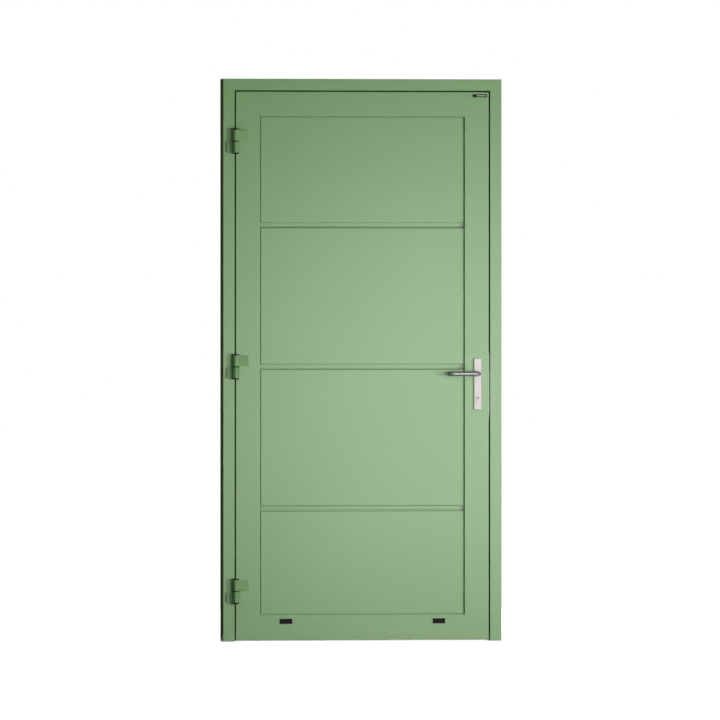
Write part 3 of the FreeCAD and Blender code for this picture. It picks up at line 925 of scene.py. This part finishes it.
@dataclass
class HandleDress(SubAssembly):
    """Both levers, their long plates, the spindle, inside screws and the keyway's painted shade."""

    bar_radius: float = 0.008
    bend_radius: float = 0.016
    end_round: float = 0.0015
    end_gap: float = 0.004
    collar_radius: float = 0.011
    collar_round: float = 0.0010
    collar_length: float = 0.009
    collar_mouth: float = 0.00784
    collar_gap: float = 0.0005
    collar_steps: int = 48
    journal_radius: float = 0.007
    journal_length: float = 0.006
    journal_steps: int = 36
    bend_steps: int = 14
    round_steps: int = 5
    screw_inset: float = 0.012
    keyway_length: float = 0.0108
    keyway_width: float = 0.0034
    keyway_corner: float = 0.0010
    keyway_sunk: float = 0.0004
    keyway_proud: float = 0.0001
    keyway_edge: float = 0.0002
    keyway_drop: float = 0.092

    def dress(self, dresser: Dresser) -> None:
        """Give the handles' CAD nodes their finishes.

        Args:
            dresser: Gives the finishes.
        """
        for name in ("outside_handle_plate", "inside_handle_plate"):
            dresser.node(name, Finish.SATIN_STEEL)
        dresser.node("spindle", Finish.ZINC_STEEL)

    def path(self, low: Vector, high: Vector, front: float, side: Side) -> np.ndarray:
        """Middle line of the bar: from the collar out, round a bend, along and back in.

        Args:
            low: Lowest corner of the CAD lever.
            high: Highest corner of the CAD lever.
            front: Y of the plate's face.
            side: The door's side that the lever is on.

        Returns:
            Points by 3.
        """
        height = (low.z + high.z) / 2
        outer = high.y if side is Side.INSIDE else low.y
        grip_y = outer - side * self.bar_radius
        spindle_x = high.x - self.collar_radius
        end_x = low.x + self.bar_radius
        turn_y = grip_y - side * self.bend_radius
        back_y = front + side * (self.end_gap + self.end_round)
        turn = np.linspace(0, np.pi / 2, self.bend_steps)
        first = np.stack([spindle_x - self.bend_radius * (1 - np.cos(turn)),
                          turn_y + side * self.bend_radius * np.sin(turn)], axis=-1)
        second = np.stack([end_x + self.bend_radius * (1 - np.sin(turn)),
                           turn_y + side * self.bend_radius * np.cos(turn)], axis=-1)
        start = [[spindle_x, front + side * self.collar_gap]]
        flat = np.concatenate([start, first, second, [[end_x, back_y]]])
        return np.column_stack([flat, np.full(len(flat), height)])

    def grip(self, path: np.ndarray, side: Side) -> np.ndarray:
        """The bar's rings along its path, then a quarter round that closes in at its end.

        At angle a of the quarter round a ring shrinks by end_round * (1 - cos a) and moves on
        by end_round * sin a.

        Args:
            path: Middle line of the bar, points by 3.
            side: The door's side that the lever is on.

        Returns:
            Rings by steps by 3, with faces outwards.
        """
        grid = Bar(self.bar_radius).surface(path)
        turn = np.linspace(0, np.pi / 2, self.round_steps)[1:, None, None]
        share = 1 - self.end_round / self.bar_radius * (1 - np.cos(turn))
        inward = np.array([0.0, -float(side), 0.0])
        cap = path[-1] + (grid[-1] - path[-1]) * share + inward * self.end_round * np.sin(turn)
        grid = np.concatenate([grid, cap])
        return grid if side is Side.OUTSIDE else grid[:, ::-1]

    def collar(self) -> np.ndarray:
        """Profile of the collar: straight side, quarter round, flat top up to the bar."""
        turn = np.linspace(0, np.pi / 2, self.round_steps)
        rim = np.stack([self.collar_radius - self.collar_round * (1 - np.cos(turn)),
                        self.collar_length - self.collar_round * (1 - np.sin(turn))], axis=-1)
        return np.concatenate([[[self.collar_radius, 0.0]], rim,
                               [[self.collar_mouth, self.collar_length]]])

    def lever(self, dresser: Dresser, side: Side) -> None:
        """One lever: a bar carried along its path, a turned collar and its journal.

        Args:
            dresser: Gives the finish.
            side: The door's side that the lever is on.
        """
        name = side.name.lower()
        node, plate = f"{name}_lever", f"{name}_handle_plate"
        low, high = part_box(node)
        plate_low, plate_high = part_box(plate)
        front = plate_high.y if side is Side.INSIDE else plate_low.y
        path = self.path(low, high, front, side)
        base = (float(path[0, 0]), front + side * self.collar_gap, float(path[0, 2]))
        journal = np.array([[self.journal_radius, -self.journal_length],
                            [self.journal_radius, 0.0]])
        sheet = Sheet()
        sheet.add(self.grip(path, side))
        sheet.add(turned(self.collar(), base, Axis.Y, side, self.collar_steps))
        sheet.add(turned(journal, base, Axis.Y, side, self.journal_steps))
        made = sheet.build(node + "_bar")
        dresser.piece(made, Finish.LEVER_STEEL, Body.LEVER, "satin_steel")
        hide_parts(node)

    def plate_screws(self, dresser: Dresser) -> None:
        """Two socket screws in the inside plate.

        Args:
            dresser: Gives the finishes.
        """
        low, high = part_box("inside_handle_plate")
        middle = (low.x + high.x) / 2
        sheet = Sheet()
        for z in (low.z + self.screw_inset, high.z - self.screw_inset):
            sheet.add(SocketScrew().surface((middle, high.y, z), Axis.Y, Side.INSIDE))
        dresser.piece(sheet.build("inside_plate_screws"), Finish.SATIN_STEEL, Body.LEAF,
                      "satin_steel")

    def keyway(self, dresser: Dresser) -> None:
        """Black sheet in the outside end of the cylinder's level keyway: painted shade of the slot.

        Args:
            dresser: Gives the finishes.
        """
        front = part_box("lock_cylinder")[0].y
        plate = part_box("outside_handle_plate")
        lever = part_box("outside_lever")
        centre = ((plate[0].x + plate[1].x) / 2, front,
                  (lever[0].z + lever[1].z) / 2 - self.keyway_drop)
        steps = [(0.0, -self.keyway_sunk), (0.0, self.keyway_proud),
                 (self.keyway_edge, 2 * self.keyway_proud)]
        # Black plastic laid over the keyway is painted shade standing in for the dark slot.
        sheet = Sheet()
        sheet.add(stepped(self.keyway_length, self.keyway_width, self.keyway_corner, steps,
                          centre))
        dresser.piece(sheet.build("keyway_mouth"), Finish.BLACK_PLASTIC, Body.LEAF,
                      "black_plastic")

    def build(self, dresser: Dresser) -> None:
        """Dress the plates and spindle, and make the levers, screws and the keyway's painted shade.

        Args:
            dresser: Gives the finishes.
        """
        self.dress(dresser)
        self.keyway(dresser)
        for side in Side:
            self.lever(dresser, side)
        self.plate_screws(dresser)


@dataclass
class Lamp:
    """One soft area lamp."""

    name: str
    place: Point
    aim: Point
    size: float
    watts: float
    lights_matt: bool = True
    lights_gloss: bool = True

    def build(self) -> None:
        """Make the lamp, turned to its aim."""
        data = bpy.data.lights.new(self.name, "AREA")
        data.shape = "DISK"
        data.size = self.size
        data.energy = self.watts
        made = bpy.data.objects.new(self.name, data)
        made.location = self.place
        towards = Vector(self.aim) - Vector(self.place)
        made.rotation_euler = towards.to_track_quat("-Z", "Y").to_euler()
        made.visible_diffuse = self.lights_matt
        made.visible_glossy = self.lights_gloss
        made.visible_camera = False
        bpy.context.scene.collection.objects.link(made)


@dataclass
class Studio:
    """Camera, lamps, floor, black flag and white background."""

    distance: float = 45.0
    yaw: float = 8.0
    eye_height: float = 1.25
    aim: Point = (-0.0098, -0.077, 1.0706)
    metres_per_pixel: float = 0.003806
    view_depth: float = 400.0
    ambient: float = 0.02
    floor_reach: float = 80.0
    floor_tone: Colour = (0.8, 0.8, 0.8)
    floor_glow: float = 0.95
    glow_near: float = 1.0
    glow_far: float = 6.0
    flag_edge: Point = (-0.545, 0.35, 3.2)
    flag_width: float = 3.5
    flag_front: float = -0.3
    flag_lift: float = 0.005
    lamps: List[Lamp] = field(default_factory=lambda: [
        Lamp("key", (10.0, -10.6, 0.4), (0.0, 0.0, 1.0), 3.0, 2070.0),
        Lamp("fill", (-2.6, -3.2, 0.9), (0.0, 0.0, 1.0), 1.2, 17.0, lights_gloss=False),
        Lamp("softbox", (0.80, -2.7, 0.85), (0.34, 0.0, 0.88), 2.2, 126.0, lights_matt=False),
        Lamp("back", (1.5, 4.0, 2.4), (0.0, 0.0, 1.0), 3.6, 105.0),
    ])

    def camera(self) -> None:
        """A long lens to the left of the door, level with the handle."""
        data = bpy.data.cameras.new("camera")
        data.sensor_width = SENSOR_WIDTH
        data.lens = self.distance / self.metres_per_pixel * SENSOR_WIDTH / IMAGE_WIDTH
        data.clip_end = self.view_depth
        made = bpy.data.objects.new("camera", data)
        angle = math.radians(self.yaw)
        aim = Vector(self.aim)
        made.location = (aim.x - self.distance * math.sin(angle),
                         aim.y - self.distance * math.cos(angle), self.eye_height)
        made.rotation_euler = (aim - made.location).to_track_quat("-Z", "Y").to_euler()
        bpy.context.scene.collection.objects.link(made)
        bpy.context.scene.camera = made

    def seen(self, board: Board) -> Signal:
        """1 for rays that show the background: camera, glossy and transmission rays.

        Args:
            board: The board to work on.

        Returns:
            The signal, 0 for all other rays.
        """
        path = board.node("ShaderNodeLightPath")
        rays = [Signal(board, path.outputs[name])
                for name in ("Is Camera Ray", "Is Glossy Ray", "Is Transmission Ray")]
        return (rays[0] + rays[1] + rays[2]).clamped(0.0, 1.0)

    def world(self) -> None:
        """White where it is seen, a low even level where it lights matt surfaces."""
        world = bpy.data.worlds.new("world")
        bpy.context.scene.world = world
        world.use_nodes = True
        world.cycles.sampling_method = "NONE"
        board = Board(world.node_tree)
        dim = board.node("ShaderNodeBackground", None, {"Color": WHITE, "Strength": self.ambient})
        white = board.node("ShaderNodeBackground", None, {"Color": WHITE, "Strength": 1.0})
        both = board.node("ShaderNodeMixShader", None,
                          {0: self.seen(board), 1: dim.outputs[0], 2: white.outputs[0]})
        board.node("ShaderNodeOutputWorld", None, {"Surface": both.outputs[0]})

    def panel(self, name: str, points: List[Point], faces: List[Tuple[int, ...]],
              material: bpy.types.Material) -> bpy.types.Object:
        """A plain mesh of the stage.

        Args:
            name: The object's name.
            points: Its corners.
            faces: Its faces as numbers of corners.
            material: Its material.

        Returns:
            The object.
        """
        mesh = bpy.data.meshes.new(name)
        mesh.from_pydata(points, [], faces)
        mesh.materials.append(material)
        made = bpy.data.objects.new(name, mesh)
        bpy.context.scene.collection.objects.link(made)
        return made

    def floor(self) -> None:
        """Pale floor that keeps a faint shadow and glows white only where it is seen."""
        material, board = new_material("floor_white")
        matt = board.node("ShaderNodeBsdfDiffuse", None, {"Color": self.floor_tone})
        dark = board.node("ShaderNodeEmission", None, {"Strength": 0.0})
        away = board.node("ShaderNodeVectorMath", {"operation": "LENGTH"}, {0: board.place()})
        far = Signal(board, away.outputs["Value"]).step(self.glow_near, self.glow_far)
        glow = board.node("ShaderNodeEmission", None,
                          {"Color": board.mix(far, shade(WHITE, self.floor_glow), WHITE),
                           "Strength": 1.0})
        shown = board.node("ShaderNodeMixShader", None,
                           {0: self.seen(board), 1: dark.outputs[0], 2: glow.outputs[0]})
        total = board.node("ShaderNodeAddShader", None,
                           {0: matt.outputs[0], 1: shown.outputs[0]})
        board.node("ShaderNodeOutputMaterial", None, {"Surface": total.outputs[0]})
        reach = self.floor_reach
        points = [(-reach, -reach, 0.0), (reach, -reach, 0.0),
                  (reach, reach, 0.0), (-reach, reach, 0.0)]
        self.panel("floor", points, [(0, 1, 2, 3)], material)

    def flag(self) -> None:
        """Black cloth behind and below the door's left side, unseen, that keeps that side dark."""
        material, board = new_material("flag_black")
        cloth = board.node("ShaderNodeBsdfDiffuse", None, {"Color": BLACK})
        board.node("ShaderNodeOutputMaterial", None, {"Surface": cloth.outputs[0]})
        x, back, top = self.flag_edge
        far, front, foot = x - self.flag_width, self.flag_front, self.flag_lift
        points = [(x, front, foot), (far, front, foot), (far, back, foot), (x, back, foot),
                  (far, back, top), (x, back, top)]
        made = self.panel("flag", points, [(0, 1, 2, 3), (3, 2, 4, 5)], material)
        made.visible_camera = False
        made.visible_shadow = False

    def build(self) -> None:
        """Set the stage."""
        bpy.context.scene.view_settings.view_transform = "Standard"
        self.camera()
        self.world()
        self.floor()
        self.flag()
        for lamp in self.lamps:
            lamp.build()


def main() -> None:
    """Build the stage, the finishes and the pieces."""
    logging.basicConfig(level=logging.INFO, format="%(message)s")
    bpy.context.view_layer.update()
    Studio().build()
    dresser = Dresser()
    for part in (FrameDress(), LeafDress(), HingeDress(), HandleDress(), NamePlate()):
        part.build(dresser)


if __name__ == "__main__":
    main()
